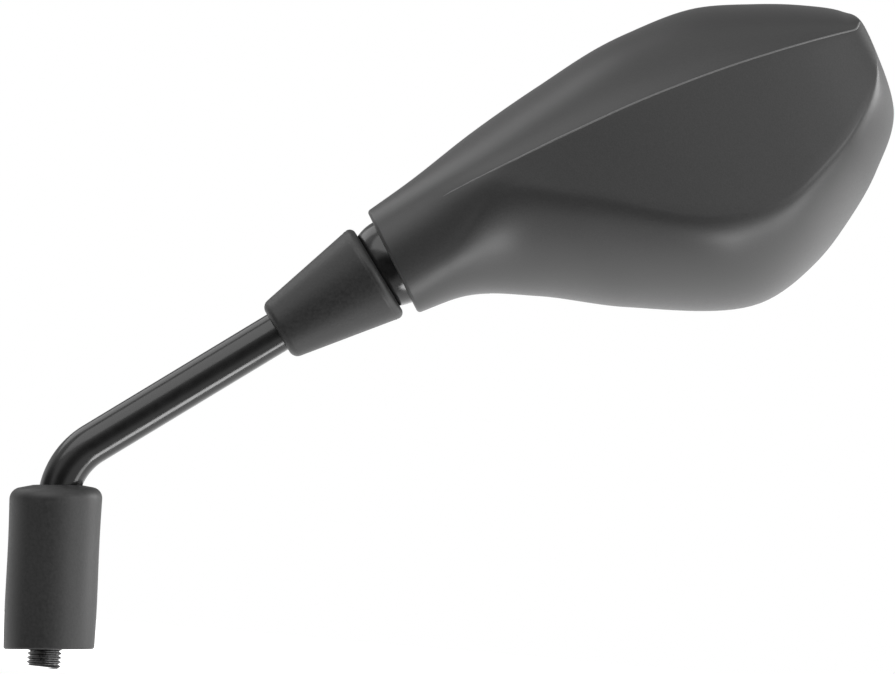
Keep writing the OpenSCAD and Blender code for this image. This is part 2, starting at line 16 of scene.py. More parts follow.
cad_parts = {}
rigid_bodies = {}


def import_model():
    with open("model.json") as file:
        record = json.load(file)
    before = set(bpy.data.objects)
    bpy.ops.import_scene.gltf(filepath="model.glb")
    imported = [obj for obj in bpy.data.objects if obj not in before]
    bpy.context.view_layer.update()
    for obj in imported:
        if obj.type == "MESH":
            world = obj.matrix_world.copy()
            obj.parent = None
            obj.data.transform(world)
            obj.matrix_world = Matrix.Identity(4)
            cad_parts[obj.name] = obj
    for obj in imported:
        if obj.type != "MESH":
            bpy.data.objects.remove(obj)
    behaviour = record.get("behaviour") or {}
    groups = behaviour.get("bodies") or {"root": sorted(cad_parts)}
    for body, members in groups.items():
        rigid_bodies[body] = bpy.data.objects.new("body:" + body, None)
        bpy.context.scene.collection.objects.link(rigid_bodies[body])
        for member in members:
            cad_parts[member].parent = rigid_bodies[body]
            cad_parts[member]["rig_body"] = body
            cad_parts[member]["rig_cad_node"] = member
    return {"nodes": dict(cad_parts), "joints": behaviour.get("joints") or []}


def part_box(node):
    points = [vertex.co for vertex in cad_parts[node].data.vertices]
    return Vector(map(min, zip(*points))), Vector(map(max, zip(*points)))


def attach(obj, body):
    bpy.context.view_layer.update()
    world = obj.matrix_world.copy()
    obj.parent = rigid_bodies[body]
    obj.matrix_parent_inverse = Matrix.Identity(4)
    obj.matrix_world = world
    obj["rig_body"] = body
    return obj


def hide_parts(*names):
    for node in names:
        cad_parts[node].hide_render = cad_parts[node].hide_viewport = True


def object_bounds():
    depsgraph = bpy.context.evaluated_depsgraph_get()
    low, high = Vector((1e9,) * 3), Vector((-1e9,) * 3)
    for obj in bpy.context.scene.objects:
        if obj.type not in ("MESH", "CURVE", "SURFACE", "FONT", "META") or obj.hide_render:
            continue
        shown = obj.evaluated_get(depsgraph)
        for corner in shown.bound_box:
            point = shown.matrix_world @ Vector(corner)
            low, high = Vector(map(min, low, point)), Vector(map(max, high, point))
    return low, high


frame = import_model()
nodes = frame["nodes"]
for node in nodes.values():
    node.data.update()
bpy.context.view_layer.update()
cad_low, cad_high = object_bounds()
print("nodes", len(nodes), "box", cad_low, cad_high)

# %% [markdown]
# Blender works in metres and the part was drawn in millimetres, so lengths below are written as
# millimetres times MM. The ball's centre and the arm's direction come from the joint in the packed
# record, so the pieces below stay on the part when it changes. Two frames start at the ball: ON_ARM
# has Z along the arm, and IN_HEAD has X along the head, Y up its face and Z out of its back.

# %% Sizes shared by several pieces
MM = 0.001
swivel = next(j for j in frame["joints"] if j["name"] == "head_swivel")
BALL_AT = Vector(swivel["pos_m"])
ARM_DIR = Vector(swivel["axis"]).normalized()
ARM_ANGLE = math.asin(ARM_DIR.z)
TURN = math.pi / 2 - ARM_ANGLE
HEAD_ANGLE = math.radians(31.6)
ARM_LEN = 113.5 * MM
CORNER = BALL_AT - ARM_LEN * ARM_DIR
BEND_R = 21.5 * MM
TANGENT = BEND_R * math.tan(TURN / 2)
BEND_Z = CORNER.z - TANGENT
STEM_R = 6 * MM
SPIGOT_R = 4 * MM
THREAD_LEN = 17 * MM
BALL_R = 13 * MM
BALL_FLAT = 12 * MM

UPRIGHT = Matrix.Rotation(math.pi / 2, 4, "X")
ON_ARM = Matrix.Translation(BALL_AT) @ Matrix.Rotation(TURN, 4, "Y")
IN_HEAD = Matrix.Translation(BALL_AT) @ Matrix.Rotation(-HEAD_ANGLE, 4, "Y") @ UPRIGHT
print("ball at", BALL_AT, "arm angle", math.degrees(ARM_ANGLE))

# %% [markdown]
# Modelling goes on in edit mode, as by hand: a piece is begun, its vertices, edges or faces are picked
# by where they lie, and an operator shapes them. These few helpers do the picking, so that each later
# step is only the shaping itself.


# %% Helpers for picking and shaping
def activate(obj):
    if bpy.context.mode != "OBJECT":
        bpy.ops.object.mode_set(mode="OBJECT")
    bpy.ops.object.select_all(action="DESELECT")
    obj.select_set(True)
    bpy.context.view_layer.objects.active = obj


def edit(obj, kind="VERT"):
    """Opens a piece in edit mode, with nothing picked"""
    activate(obj)
    bpy.ops.object.mode_set(mode="EDIT")
    bpy.ops.mesh.select_mode(type=kind)
    bpy.ops.mesh.select_all(action="DESELECT")


def leave():
    bpy.ops.object.mode_set(mode="OBJECT")


def pick(obj, kind, test):
    """Selects the vertices, edges or faces that pass a test, and returns how many there are"""
    work = bmesh.from_edit_mesh(obj.data)
    bpy.ops.mesh.select_all(action="DESELECT")
    found = 0
    for item in getattr(work, kind):
        if test(item):
            item.select_set(True)
            found += 1
    work.select_flush_mode()
    bmesh.update_edit_mesh(obj.data)
    return found


def tidy(obj):
    """Merges doubles and turns every face outwards"""
    edit(obj)
    bpy.ops.mesh.select_all(action="SELECT")
    bpy.ops.mesh.remove_doubles(threshold=0.004 * MM)
    bpy.ops.mesh.normals_make_consistent(inside=False)
    leave()


def smooth(obj, degrees=32):
    activate(obj)
    bpy.ops.object.shade_smooth_by_angle(angle=math.radians(degrees))


def apply(obj, modifier):
    activate(obj)
    bpy.ops.object.modifier_apply(modifier=modifier.name)


def rounded(obj, width, degrees, segments):
    """Rounds every edge sharper than an angle"""
    bevel = obj.modifiers.new("rounded", "BEVEL")
    bevel.width = width
    bevel.segments = segments
    bevel.limit_method = "ANGLE"
    bevel.angle_limit = math.radians(degrees)
    apply(obj, bevel)


def carve(obj, tool, operation="DIFFERENCE"):
    """Cuts one closed mesh with another, and throws the tool away"""
    boolean = obj.modifiers.new("carve", "BOOLEAN")
    boolean.operation = operation
    boolean.solver = "EXACT"
    boolean.object = tool
    apply(obj, boolean)
    bpy.data.objects.remove(tool)


def settle(obj, matrix):
    """Puts a piece in its place, with the place in its mesh"""
    activate(obj)
    obj.matrix_world = matrix
    bpy.ops.object.transform_apply(location=True, rotation=True, scale=True)


# %% [markdown]
# Round pieces, such as the boot, the sleeve and the ball, are turned: a profile is drawn point by
# point from a single vertex, and Spin carries it round the axis. A cylinder scaled ring by ring would
# do too, but a profile shows the whole form at once.


# %% Turned pieces
def profile(name, points):
    """An open line of vertices, drawn in the XZ plane by extruding one vertex from point to point"""
    bpy.ops.object.select_all(action="DESELECT")
    bpy.ops.mesh.primitive_plane_add(size=MM)
    obj = bpy.context.object
    obj.name = name
    bpy.ops.object.mode_set(mode="EDIT")
    bpy.ops.mesh.select_all(action="SELECT")
    bpy.ops.mesh.merge(type="CENTER")
    here = Vector((0, 0, 0))
    for n, (r, z) in enumerate(points):
        there = Vector((r, 0, z))
        if n == 0:
            bpy.ops.transform.translate(value=there - here)
        else:
            bpy.ops.mesh.extrude_vertices_move(TRANSFORM_OT_translate={"value": there - here})
        here = there
    return obj


def turned(name, points, matrix, steps, closed=True):
    """A profile spun round Z. A closed profile makes a ring, an open one must end on the axis"""
    obj = profile(name, points)
    bpy.ops.mesh.select_all(action="SELECT")
    if closed:
        work = bmesh.from_edit_mesh(obj.data)
        ends = [v for v in work.verts if len(v.link_edges) == 1]
        work.edges.new(ends)
        bmesh.update_edit_mesh(obj.data)
        bpy.ops.mesh.select_all(action="SELECT")
    bpy.ops.mesh.spin(
        steps=steps, angle=2 * math.pi, center=(0, 0, 0), axis=(0, 0, 1), use_auto_merge=True
    )
    leave()
    tidy(obj)
    settle(obj, matrix)
    return obj


def arc(r, z, radius, start, end, count):
    """Points round a corner, with angles in degrees from +X"""
    angles = np.radians(np.linspace(start, end, count + 1))
    return [(r + radius * math.cos(a), z + radius * math.sin(a)) for a in angles]


# %% [markdown]
# The stem is a 12 mm steel bar. Below the run-out it carries the mounting thread, it bends through
# 54 degrees, and past the ball its end is turned down for the spring and nut. A thick curve would
# give the bend but not the shoulders, so a circle is extruded along the bar, Spin makes the bend, and
# scaling the last ring makes each shoulder.

# %% Round bar with its bend
BAR_SIDES = 64
BEND_STEPS = 26


def begin_ring(name, radius, z):
    """A round end face on the thread's axis, picked and ready to extrude"""
    bpy.ops.object.select_all(action="DESELECT")
    bpy.ops.mesh.primitive_circle_add(
        vertices=BAR_SIDES, radius=radius, location=(0, 0, z), fill_type="NGON"
    )
    obj = bpy.context.object
    obj.name = name
    activate(obj)
    bpy.ops.object.transform_apply(location=True, rotation=True, scale=True)
    bpy.ops.object.mode_set(mode="EDIT")
    bpy.ops.mesh.select_mode(type="FACE")
    bpy.ops.mesh.select_all(action="SELECT")
    return obj


def extrude_to(step, factor=1.0, centre=None):
    """Extrudes the picked end face by a step, and scales it about a centre"""
    bpy.ops.mesh.extrude_region_move(TRANSFORM_OT_translate={"value": step})
    if factor != 1.0:
        bpy.ops.transform.resize(value=(factor,) * 3, center_override=centre)


def bend_onto_arm():
    """Spins the picked end face round the bend, from the thread's axis to the arm"""
    bpy.ops.mesh.spin(
        steps=BEND_STEPS, angle=TURN, center=(BEND_R, 0, BEND_Z), axis=(0, -1, 0), use_auto_merge=False
    )


RUNOUT_R = 4.8 * MM
RUNOUT_END = 25.5 * MM
CONE_Z = RUNOUT_END - STEM_R + RUNOUT_R
SEAT_LAP = 0.02 * MM
BALL_SEAT = math.sqrt(BALL_R**2 - STEM_R**2) - SEAT_LAP
TAIL_R = 3 * MM
TAIL_LEN = 22.95 * MM
TAIL_CHAMFER = 0.75 * MM
TAIL_END = BALL_AT + (BALL_FLAT + TAIL_LEN + TAIL_CHAMFER) * ARM_DIR

stem = begin_ring("stem_bar", RUNOUT_R, THREAD_LEN)
extrude_to((0, 0, CONE_Z - THREAD_LEN))
extrude_to((0, 0, RUNOUT_END - CONE_Z), STEM_R / RUNOUT_R, (0, 0, RUNOUT_END))
extrude_to((0, 0, BEND_Z - RUNOUT_END))
bend_onto_arm()
extrude_to(ARM_DIR * (ARM_LEN - TANGENT - BALL_SEAT))
extrude_to((0, 0, 0), SPIGOT_R / STEM_R, BALL_AT - BALL_SEAT * ARM_DIR)
extrude_to(ARM_DIR * (BALL_SEAT + BALL_FLAT))
extrude_to((0, 0, 0), TAIL_R / SPIGOT_R, BALL_AT + BALL_FLAT * ARM_DIR)
extrude_to(ARM_DIR * TAIL_LEN)
extrude_to(ARM_DIR * TAIL_CHAMFER, 1 - TAIL_CHAMFER / TAIL_R, TAIL_END)
leave()
tidy(stem)
smooth(stem)
print("stem", len(stem.data.polygons), "faces")

# %% [markdown]
# The M10 thread shows under the sleeve. Rings stacked on the bar would look like a thread from afar,
# but they don't climb. So one V of its profile is drawn, the Screw modifier winds it up the axis,
# Bisect trims and caps both ends, and a turned blank with the entry chamfer gives the outside, so the
# first turn fades into the chamfer as on a rolled thread.

# %% Mounting thread
THREAD_R = 5 * MM
PITCH = 1.25 * MM
CREST = PITCH / 8
ROOT_R = THREAD_R - 0.6134 * PITCH
ROOT_START = 0.5 * PITCH
ROOT_END = 0.62 * PITCH
ENTRY_CHAMFER = 1.0 * MM
TURN_STEPS = 40

mount_thread = profile(
    "mount_thread",
    [(THREAD_R, 0), (THREAD_R, CREST), (ROOT_R, ROOT_START), (ROOT_R, ROOT_END), (THREAD_R, PITCH)],
)
leave()
wind = mount_thread.modifiers.new("wind", "SCREW")
wind.axis = "Z"
wind.screw_offset = PITCH
wind.iterations = int(THREAD_LEN / PITCH) + 4
wind.steps = TURN_STEPS
wind.render_steps = TURN_STEPS
wind.use_merge_vertices = True
wind.merge_threshold = 0.002 * MM
apply(mount_thread, wind)
tidy(mount_thread)
settle(mount_thread, Matrix.Translation((0, 0, -2 * PITCH)))
for height, top in ((-ENTRY_CHAMFER, False), (THREAD_LEN, True)):
    edit(mount_thread)
    bpy.ops.mesh.select_all(action="SELECT")
    bpy.ops.mesh.bisect(
        plane_co=(0, 0, height), plane_no=(0, 0, 1), use_fill=True, clear_inner=not top, clear_outer=top
    )
    leave()
tidy(mount_thread)

blank_profile = [
    (0, -ENTRY_CHAMFER),
    (THREAD_R - ENTRY_CHAMFER, -ENTRY_CHAMFER),
    (THREAD_R, 0),
    (THREAD_R, THREAD_LEN),
    (0, THREAD_LEN),
]
blank = turned("blank", blank_profile, Matrix(), steps=80, closed=False)
carve(mount_thread, blank, "INTERSECT")
smooth(mount_thread, 25)
print("thread", len(mount_thread.data.polygons), "faces")

# %% [markdown]
# The lower sleeve is a loose rubber cover. It sits askew on the stem, as pushed on by hand: its ends
# are turned by 5 degrees, but its soft sides lean by less than half of that. It is turned upright with
# a hollow below and a closed top, and one matrix then shears and turns it. The hole that grips the
# stem is cut with a slightly thicker copy of the bent bar, so it follows the bend.

# %% Lower sleeve
SLEEVE_R = 13.25 * MM
SLEEVE_TOP_R = 13.55 * MM
SLEEVE_H = 47.2 * MM
SLEEVE_HOLLOW = 11.25 * MM
SLEEVE_ROOF = 4 * MM
SIDE_SHARE = 0.92
SIDE_WAVE = 0.12 * MM
FOOT_CHAMFER = 0.45 * MM
ROOF_CHAMFER = 1.2 * MM
CORNER_R = 3.4 * MM
SIDE_LEAN = math.radians(2.7)
END_TURN = math.radians(-5)
GRIP_R = STEM_R + 0.2 * MM
GRIP_FROM = 30 * MM
GRIP_RUN = 12 * MM


def sleeve_side(share):
    """A point on the sleeve's slightly wavy side, a share of the way up"""
    straight = SLEEVE_R + (SLEEVE_TOP_R - SLEEVE_R) * share
    return straight + SIDE_WAVE * math.sin(math.pi * share * 2), SLEEVE_H * share * SIDE_SHARE


sleeve_profile = (
    [(SLEEVE_HOLLOW, 0), (SLEEVE_R - FOOT_CHAMFER, 0), (SLEEVE_R, FOOT_CHAMFER)]
    + [sleeve_side(share) for share in np.linspace(0.1, 0.95, 9)]
    + arc(SLEEVE_TOP_R - CORNER_R, SLEEVE_H - CORNER_R, CORNER_R, 0, 82, 8)
    + [(SLEEVE_TOP_R * 0.5, SLEEVE_H + 0.68 * MM), (0, SLEEVE_H + 0.9 * MM), (0, SLEEVE_H - SLEEVE_ROOF)]
    + [(SLEEVE_HOLLOW - ROOF_CHAMFER, SLEEVE_H - SLEEVE_ROOF)]
    + [(SLEEVE_HOLLOW, SLEEVE_H - SLEEVE_ROOF - ROOF_CHAMFER)]
)
sleeve = turned("sleeve_cover", sleeve_profile, Matrix.Identity(4), steps=112)
pushed_over = Matrix.Identity(4)
pushed_over[0][2] = math.tan(SIDE_LEAN)
sleeve_at = Matrix.Translation((1.12 * MM, 0, 4.9 * MM))
sleeve.data.transform(sleeve_at @ Matrix.Rotation(END_TURN, 4, "Y") @ pushed_over)

grip_tool = begin_ring("grip_tool", GRIP_R, GRIP_FROM)
extrude_to((0, 0, BEND_Z - GRIP_FROM))
bend_onto_arm()
extrude_to(ARM_DIR * GRIP_RUN)
leave()
tidy(grip_tool)
carve(sleeve, grip_tool)
rounded(sleeve, width=0.25 * MM, degrees=50, segments=2)
smooth(sleeve, 40)
print("sleeve", len(sleeve.data.polygons), "faces")

# %% [markdown]
# The joint boot is a tapered rubber moulding that grips the stem and opens towards the ball. Its two
# ends are rounded, and a fine bead runs round its outside just behind the mouth. It is a round piece,
# so it is turned, and the bead is three points of its profile.

# %% Joint boot
BOOT_LEN = 34.4 * MM
BOOT_SMALL = 9.15 * MM
BOOT_MOUTH = 14.95 * MM
BOOT_WALL = 2.4 * MM
BOOT_GRIP = 13 * MM
SMALL_ROUND = 2.7 * MM
MOUTH_ROUND = 1.9 * MM
MOUTH_GAP = 5.4 * MM
BEAD_DROPS = [(0.21 * MM, 3.15 * MM), (0.05 * MM, 2.8 * MM), (0.11 * MM, 2.45 * MM)]

slant = math.degrees(math.atan((BOOT_MOUTH - BOOT_SMALL) / BOOT_LEN))
boot_hollow = BOOT_SMALL + (BOOT_MOUTH - BOOT_SMALL) * BOOT_GRIP / BOOT_LEN - BOOT_WALL
boot_profile = (
    [(GRIP_R, 0.3 * MM), (GRIP_R + 0.3 * MM, 0)]
    + arc(BOOT_SMALL + 0.3 * MM - SMALL_ROUND, SMALL_ROUND, SMALL_ROUND, -90, -slant, 9)
    + [(BOOT_MOUTH - inwards, BOOT_LEN - back) for inwards, back in BEAD_DROPS]
    + arc(BOOT_MOUTH - MOUTH_ROUND, BOOT_LEN - MOUTH_ROUND, MOUTH_ROUND, -slant, 90, 8)
    + [(BOOT_MOUTH - 2.3 * MM, BOOT_LEN), (BOOT_MOUTH - 2.5 * MM, BOOT_LEN - 0.2 * MM)]
    + [(boot_hollow, BOOT_GRIP), (GRIP_R, BOOT_GRIP)]
)
boot_at = ON_ARM @ Matrix.Translation((0, 0, -MOUTH_GAP - BOOT_LEN))
boot = turned("boot_cover", boot_profile, boot_at, steps=112)
smooth(boot, 40)
print("boot", len(boot.data.polygons), "faces")

# %% [markdown]
# The head swings on a painted ball, 26 mm across and bored to sit on the stem's spigot. A sphere
# would have to be cut twice and drilled, so the ball is turned from a profile instead, from its seat
# on the stem's shoulder round to its front flat.

# %% Ball
BORE_R = SPIGOT_R + 0.05 * MM
seat_angle = math.degrees(math.asin(STEM_R / BALL_R))
front_angle = math.degrees(math.acos(BALL_FLAT / BALL_R))
ball_profile = arc(0, 0, BALL_R, -90 + seat_angle, 90 - front_angle, 48)
ball_profile += [(BORE_R, BALL_FLAT), (BORE_R, -BALL_SEAT)]
joint_ball = turned("joint_ball", ball_profile, ON_ARM, steps=96)
smooth(joint_ball)
print("ball", len(joint_ball.data.polygons), "faces")

# %% [markdown]
# The head's housing is one moulding with two facets that meet in a crease, a wall below and a rim
# around the glass. A block cut with planes would give flat facets, but these are slightly curved and
# run out into a round neck. So its form comes from sections at ten stations along the head. A station
# is ten numbers: two for each place where the section meets the upper and the lower edge, the rim's
# depth, height and distance inwards for the ridge and for the crease, and how faceted it is.

# %% Stations along the head
HEAD_LEN, HEAD_UP, HEAD_DOWN = 153.1, 29.05, 58.8
RIM_DEPTH, BACK_DEPTH, NECK_R = 18.0, 28.5, 16.55
NECK_REACH = 0.6
NEAR_STATION = 0.0915 * HEAD_LEN


def station(x1, up, x2, down, ridge, ridge_in, crease, crease_in, facet):
    """A station's ten numbers, in millimetres, from shares of the head's sizes"""
    upper = [x1 * HEAD_LEN, up * HEAD_UP]
    lower = [x2 * HEAD_LEN, -down * HEAD_DOWN]
    ridge_at = [ridge * BACK_DEPTH, ridge_in * HEAD_DOWN]
    crease_at = [crease * BACK_DEPTH, crease_in * HEAD_UP]
    return np.array(upper + lower + [RIM_DEPTH] + ridge_at + crease_at + [facet])


NECK_STATION = np.array([
    -NECK_REACH, NECK_R, -NECK_REACH, -NECK_R, NECK_R,
    NECK_R, 1.088 * NECK_R, NECK_R, 0.363 * NECK_R, 0,
])
SHOULDER_STATION = np.array([
    NEAR_STATION, 1.14 * NECK_R, NEAR_STATION, -1.108 * NECK_R, 0.45 * NECK_R + 0.55 * RIM_DEPTH,
    1.16 * NECK_R, 1.269 * NECK_R, 1.16 * NECK_R, 0.465 * NECK_R, 0.25,
])
STATIONS = [
    NECK_STATION,
    SHOULDER_STATION,
    station(0.235, 0.806, 0.215, 0.474, 0.814, 0.587, 0.787, 0.433, 0.9),
    station(0.392, 0.928, 0.358, 0.722, 0.921, 0.609, 0.844, 0.562, 1),
    station(0.589, 1.0055, 0.592, 1.0007, 1.0, 0.489, 0.844, 0.683, 1),
    station(0.732, 0.920, 0.716, 0.945, 0.945, 0.361, 0.784, 0.673, 1),
    station(0.834, 0.694, 0.798, 0.8455, 0.860, 0.324, 0.714, 0.527, 1),
    station(0.917, 0.460, 0.898, 0.673, 0.717, 0.263, 0.611, 0.376, 1),
    station(0.976, 0.238, 0.980, 0.4445, 0.524, 0.206, 0.478, 0.227, 1),
    station(1.0, -0.0215, 1.0, 0.017, 0.3, 0.009, 0.3, 0.014, 1),
]
LAST = len(STATIONS) - 1
print("stations", len(STATIONS))

# %% [markdown]
# Between two stations each number runs along a smooth curve that also heeds the stations before and
# after them. At the tip the outline turns round, so the row after the last is the one before it with
# its upper and lower edge swapped.

# %% Smooth curves between the stations
EDGES_SWAPPED = [2, 3, 0, 1, 4, 5, 6, 7, 8, 9]
SIDESTEP = 0.02


def row(k):
    return STATIONS[LAST - 1][EDGES_SWAPPED] if k > LAST else STATIONS[max(k, 0)]


def gap_after(k):
    """How far the outline runs from one station to the next"""
    k = min(max(k, 0), LAST - 1)
    step = row(k + 1) - row(k)
    return (np.hypot(*step[:2]) + np.hypot(*step[2:4])) / 2


def slope_at(k):
    """How fast each number changes along the outline at a station"""
    if k == 0:
        return (row(1) - row(0)) / gap_after(0)
    before, after = gap_after(k - 1), gap_after(k)
    rise_after = (row(k + 1) - row(k)) / after
    rise_before = (row(k) - row(k - 1)) / before
    return (rise_after * before + rise_before * after) / (before + after)


def station_at(place):
    """The ten numbers at any place, such as 2.5 for halfway between the third and fourth station"""
    k = min(int(place), LAST - 1)
    t = place - k
    gap = gap_after(k)
    return (
        (2 * t**3 - 3 * t * t + 1) * row(k)
        + (t**3 - 2 * t * t + t) * gap * slope_at(k)
        + (3 * t * t - 2 * t**3) * row(k + 1)
        + (t**3 - t * t) * gap * slope_at(k + 1)
    )


def drawn_in(place, inset, side):
    """The outline's point on its upper or lower side, moved inwards"""
    at = slice(0, 2) if side > 0 else slice(2, 4)
    along = station_at(min(place + SIDESTEP, LAST))[at] - station_at(max(place - SIDESTEP, 0))[at]
    along /= np.linalg.norm(along)
    return station_at(place)[at] + inset * side * np.array([along[1], -along[0]])


print("outline halfway", station_at(LAST / 2)[:4])

# %% [markdown]
# A section is drawn twice, with as many points: once as the neck's oval, and once faceted, with a wall
# that bows up to the ridge, a straight facet from there to the crease, a brow that falls to the rim,
# and the front. The station's last number blends the two, so the facets grow out of the neck. The
# front turns to its faceted form a little sooner than the back.

# %% Sections of the housing
WALL, FACET, BROW, FRONT = 30, 10, 20, 12
CREASE_COLUMN = WALL + FACET
BACK = WALL + FACET + BROW
OVAL_RIDGE, OVAL_CREASE = -24, 41
WALL_OUT, WALL_TURN = 0.04, 0.34
BROW_TURN, BROW_DROP, BROW_OUT = 0.58, 0.42, 0.45
BROW_SLOPE = math.tan(math.radians(24))
LEAST_IN = 0.3


def steps(count):
    return np.arange(count) / count


def bow(p0, p1, p2, p3, t):
    """Points on a curve from p0 to p3 with the handles p1 and p2"""
    t = t[:, None]
    return (1 - t) ** 3 * p0 + 3 * (1 - t) ** 2 * t * p1 + 3 * (1 - t) * t * t * p2 + t**3 * p3


def oval(width, back, front, start, end, count):
    """Points on an oval whose two halves have their own depth"""
    a = np.radians(np.linspace(start, end, count + 1)[:-1])
    return np.stack([width / 2 * (1 + np.sin(a)), np.where(np.cos(a) > 0, back, front) * np.cos(a)], 1)


def section(width, front, ridge, ridge_in, crease, crease_in, facet):
    """One closed section, from its lower edge at 0 over the back to its upper edge and home"""
    tilt = (ridge - crease) / max(width - ridge_in - crease_in, 1)
    turn_in = WALL_TURN * ridge_in
    high = front + ridge
    foot = np.array([0, -front])
    wall_handle = np.array([WALL_OUT * ridge_in, -front + 0.5 * high])
    ridge_handle = np.array([ridge_in - turn_in, ridge + turn_in * tilt])
    ridge_at = np.array([ridge_in, ridge])
    crease_at = np.array([width - crease_in, crease])
    brow_handle = np.array([width - BROW_TURN * crease_in, crease - BROW_DROP * crease_in * BROW_SLOPE])
    rim_handle = np.array([width, BROW_OUT * crease])
    rim = np.array([width, -front])
    faceted = np.concatenate([
        bow(foot, wall_handle, ridge_handle, ridge_at, steps(WALL)),
        ridge_at + steps(FACET)[:, None] * (crease_at - ridge_at),
        bow(crease_at, brow_handle, rim_handle, rim, steps(BROW)),
        rim + steps(FRONT)[:, None] * (foot - rim),
    ])
    neck = np.concatenate([
        oval(width, ridge, front, -90, OVAL_RIDGE, WALL),
        oval(width, ridge, front, OVAL_RIDGE, OVAL_CREASE, FACET),
        oval(width, ridge, front, OVAL_CREASE, 90, BROW),
        oval(width, ridge, front, 90, 270, FRONT),
    ])
    share = np.where(np.arange(len(neck)) < BACK, facet, 1 - (1 - facet) ** 2)[:, None]
    return neck + share * (faceted - neck)


def head_ring(place, inset):
    """The section at a place, drawn in by an inset and set up in the head's frame"""
    front, ridge, ridge_in, crease, crease_in, facet = station_at(place)[4:]
    low = drawn_in(place, inset, -1)
    high = drawn_in(place, inset, 1)
    width = np.linalg.norm(high - low)
    up = (high - low) / width
    points = section(
        width,
        front - inset,
        ridge - inset,
        max(ridge_in - inset / 2, LEAST_IN),
        crease - inset,
        max(crease_in - inset / 2, LEAST_IN),
        facet,
    )
    return np.column_stack([low[0] + points[:, 0] * up[0], low[1] + points[:, 0] * up[1], points[:, 1]]) * MM


print("points round a section", len(head_ring(0, 0)))

# %% [markdown]
# A grid is added with a row for each section, its vertices are wrapped round the sections, its sides
# are joined, and its two open ends are filled, which makes a closed skin. The same grid, drawn in by
# the wall's thickness, is the core that hollows it later.

# %% Skin and core of the housing
SHELL_WALL = 2.3
TIP_CUT = 0.05


def head_rings(inset, rows_per_station):
    """Sections from the neck to just short of the tip, where a section has no width left"""
    places = np.linspace(0, LAST - TIP_CUT, LAST * rows_per_station + 1)
    return [head_ring(place, inset) for place in places]


def wrapped_grid(name, rings):
    """A grid wrapped round rings of points, closed at both ends"""
    around = len(rings[0])
    bpy.ops.object.select_all(action="DESELECT")
    bpy.ops.mesh.primitive_grid_add(x_subdivisions=around, y_subdivisions=len(rings) - 1, size=1)
    obj = bpy.context.object
    obj.name = name
    wrapped = [ring[j % around] for ring in rings for j in range(around + 1)]
    obj.data.vertices.foreach_set("co", np.array(wrapped).ravel())
    obj.data.update()
    edit(obj)
    bpy.ops.mesh.select_all(action="SELECT")
    bpy.ops.mesh.remove_doubles(threshold=0.002 * MM)
    bpy.ops.mesh.select_all(action="DESELECT")
    bpy.ops.mesh.select_mode(type="EDGE")
    bpy.ops.mesh.select_non_manifold()
    bpy.ops.mesh.edge_face_add()
    bpy.ops.mesh.select_all(action="SELECT")
    bpy.ops.mesh.normals_make_consistent(inside=False)
    leave()
    return obj


shell_rings = head_rings(0, 14)
shell = wrapped_grid("head_shell", shell_rings)
core = wrapped_grid("head_core", head_rings(SHELL_WALL, 8))
print("shell", len(shell.data.polygons), "core", len(core.data.polygons))

# %% [markdown]
# Two kinds of edge are softened before anything is cut. The crease gets a small radius, because a
# moulded edge is never sharp and its thin highlight is what the eye reads. The rim's outer edge and
# the neck's mouth get a larger one. A bevel by angle could miss where the crease is shallow, so the
# edges are picked by the line they lie on.

# %% Soften the crease, the rim's outer edge and the mouth
ON_LINE = 0.01 * MM
NECK_END = 20 * MM
CREASE_DELAY = 6
TIP_ROWS = 3


def near_line(points):
    """A test for edges whose two ends both lie on a line of points"""
    cloud = np.array(points)

    def test(edge):
        ends = [np.array(v.co) for v in edge.verts]
        return all(np.min(np.sum((cloud - end) ** 2, axis=1)) < ON_LINE**2 for end in ends)

    return test


def soften(obj, line, width):
    """Bevels the edges that lie on a line"""
    edit(obj, "EDGE")
    found = pick(obj, "edges", near_line(line))
    bpy.ops.mesh.bevel(offset=width, offset_type="OFFSET", segments=3, affect="EDGES")
    leave()
    print("softened", found, "edges")


first = next(n for n, ring in enumerate(shell_rings) if ring[0][0] > NECK_END)
crease_line = [ring[CREASE_COLUMN] for ring in shell_rings[first + CREASE_DELAY : -TIP_ROWS]]
rim_rings = shell_rings[first:-TIP_ROWS]
rim_line = [ring[0] for ring in rim_rings] + [ring[BACK] for ring in rim_rings]
soften(shell, crease_line, 0.5 * MM)
soften(shell, rim_line, 0.7 * MM)
soften(shell, shell_rings[0], 0.9 * MM)
tidy(shell)

# %% [markdown]
# Along the crease runs a fine raised line, left where the two facets of the mould meet. It starts on
# the neck and ends at the tip. A wider bevel wouldn't stand proud, so a thin round bead follows the
# skin with most of its thickness sunk in it. A ray sent down on the skin finds the height at each
# place. The neck's part is given as distances along and up the head's face.

# %% Raised line along the crease
BEAD_R = 0.42 * MM
BEAD_SUNK = 0.72
RAY_FROM = 0.2
CREASE_FROM = 57 * MM
FADE_POINTS = 6
START_SHARE, END_SHARE = 0.2, 0.3
NECK_LINE = [
    (9, 8.9), (12, 9.75), (16, 10.2), (20, 10.5), (24, 10.68),
    (31, 10.75), (38, 10.75), (45, 10.75), (52, 10.72),
]
bead_line = [(u * MM, v * MM) for u, v in NECK_LINE]
bead_line += [(point[0], point[1]) for point in crease_line if point[0] > CREASE_FROM]
bpy.ops.curve.primitive_nurbs_path_add()
bead = bpy.context.object
bead.name = "crease_bead"
bead.data.splines.clear()
run = bead.data.splines.new("POLY")
run.points.add(len(bead_line) - 1)
for n, (u, v) in enumerate(bead_line):
    place, normal = shell.ray_cast(Vector((u, v, RAY_FROM)), Vector((0, 0, -1)))[1:3]
    left = len(bead_line) - n
    run.points[n].co = (*(place - normal * BEAD_R * BEAD_SUNK), 1)
    run.points[n].radius = min(1, START_SHARE + n / FADE_POINTS, END_SHARE + left / FADE_POINTS)
bead.data.bevel_depth = BEAD_R
bead.data.bevel_resolution = 3
bead.data.use_fill_caps = True
